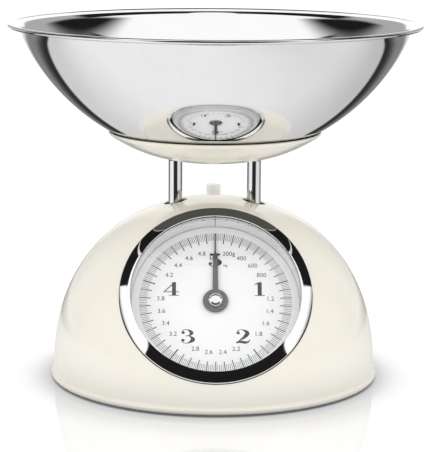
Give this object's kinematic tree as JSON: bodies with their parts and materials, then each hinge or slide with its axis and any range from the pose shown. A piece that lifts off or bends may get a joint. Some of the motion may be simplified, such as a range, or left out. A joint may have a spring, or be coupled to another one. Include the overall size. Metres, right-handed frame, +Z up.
{
  "type": "mechanical kitchen scale",
  "caption": "Spring kitchen scale with a domed enamel housing, a tilted round dial in a chrome ring and a lift-off polished steel bowl on a dished platform.",
  "frame": {"origin": "middle of the round base, on the surface the scale stands on", "axes": "+Z up, the dial faces -Y, +X is to the right of someone facing the dial"},
  "size_m": [0.26, 0.26, 0.2266],
  "materials": {
    "cream_enamel": "glossy cream enamel",
    "polished_steel": "mirror-polished stainless steel",
    "chrome": "bright chrome plating",
    "glass": "clear flat dial window",
    "dial_white": "satin white with black print",
    "pointer_black": "satin black paint",
    "white_plastic": "moulded white",
    "black_plastic": "fine moulded texture",
    "rubber": "matte black",
    "zinc_steel": "bright zinc plating",
    "spring_steel": "oiled spring steel",
    "brass": "machined brass",
    "aluminium": "milled aluminium"
  },
  "bodies": {
    "base": {"base_plate": "black_plastic", "base_screw_1": "zinc_steel", "base_screw_2": "zinc_steel", "base_screw_3": "zinc_steel", "base_screw_4": "zinc_steel", "bezel": "chrome", "chassis": "zinc_steel", "chassis_screw_1": "zinc_steel", "chassis_screw_2": "zinc_steel", "chassis_screw_3": "zinc_steel", "chassis_screw_4": "zinc_steel", "cheek_screw_left": "zinc_steel", "cheek_screw_right": "zinc_steel", "dial_cup": "white_plastic", "dial_plate": "dial_white", "foot_1": "rubber", "foot_2": "rubber", "foot_3": "rubber", "foot_4": "rubber", "front_bush": "brass", "housing_shell": "cream_enamel", "lens": "glass", "lens_gasket": "rubber", "lower_lever_pin": "zinc_steel", "main_spring_left": "spring_steel", "main_spring_right": "spring_steel", "movement_plate": "zinc_steel", "plate_screw_1": "zinc_steel", "plate_screw_2": "zinc_steel", "plate_screw_3": "zinc_steel", "post_bush_left": "black_plastic", "post_bush_right": "black_plastic", "rear_bush": "brass", "upper_lever_pin": "zinc_steel"},
    "platform": {"post_left": "chrome", "post_right": "chrome", "post_nut_left": "zinc_steel", "post_nut_right": "zinc_steel", "crosshead": "aluminium", "carrier": "zinc_steel", "carrier_pin_upper": "zinc_steel", "carrier_pin_lower": "zinc_steel", "tray": "cream_enamel", "tray_screw_left": "zinc_steel", "tray_screw_right": "zinc_steel"},
    "bowl": {"bowl": "polished_steel"},
    "rack": {"rack": "brass"},
    "pointer": {"pointer": "pointer_black", "pointer_cap": "chrome", "pointer_shaft": "zinc_steel", "pinion": "brass"},
    "upper_lever": {"upper_lever": "zinc_steel"},
    "lower_lever": {"lower_lever": "zinc_steel"},
    "zero_adjuster": {"zero_screw": "zinc_steel", "zero_knob": "white_plastic"},
    "hanger": {"spring_hanger": "zinc_steel"}
  },
  "joints": [
    {"name": "platform_slide", "type": "slide", "parent": "base", "child": "platform", "axis": [0, 0, -1], "range_m": [0, 0.01495], "stiffness_N_per_m": 3280, "springref_m": -0.0025, "deforming": ["main_spring_left", "main_spring_right"]},
    {"name": "bowl_lift", "type": "slide", "parent": "platform", "child": "bowl", "axis": [0, 0, 1], "range_m": [0, 0.1]},
    {"name": "rack_slide", "type": "slide", "parent": "base", "child": "rack", "axis": [0, -0.6088, -0.7934], "range_m": [0, 0.01886]},
    {"name": "pointer_spin", "type": "hinge", "parent": "base", "child": "pointer", "pos_m": [0, -0.0658, 0.066], "axis": [0, 0.7934, -0.6088], "range_deg": [0, 360]},
    {"name": "upper_lever_hinge", "type": "hinge", "parent": "base", "child": "upper_lever", "pos_m": [0, 0.06244, 0.06552], "axis": [1, 0, 0], "range_deg": [0, 17.21]},
    {"name": "lower_lever_hinge", "type": "hinge", "parent": "base", "child": "lower_lever", "pos_m": [0, 0.06244, 0.02052], "axis": [1, 0, 0], "range_deg": [0, 17.21]},
    {"name": "zero_turn", "type": "hinge", "parent": "base", "child": "zero_adjuster", "pos_m": [0, 0.045, 0.1], "axis": [0, 0, 1], "range_deg": [-360, 360]},
    {"name": "hanger_slide", "type": "slide", "parent": "base", "child": "hanger", "axis": [0, 0, 1], "range_m": [-0.0007, 0.0007], "stiffness_N_per_m": 6000}
  ],
  "couplings": [
    {"joint": "rack_slide", "follows": "platform_slide", "ratio": 1.2605},
    {"joint": "pointer_spin", "follows": "platform_slide", "rad_per_m": 420.15},
    {"joint": "upper_lever_hinge", "follows": "platform_slide", "rad_per_m": 20.075},
    {"joint": "lower_lever_hinge", "follows": "platform_slide", "rad_per_m": 20.075},
    {"joint": "zero_turn", "follows": "hanger_slide", "rad_per_m": 8975.9}
  ]
}
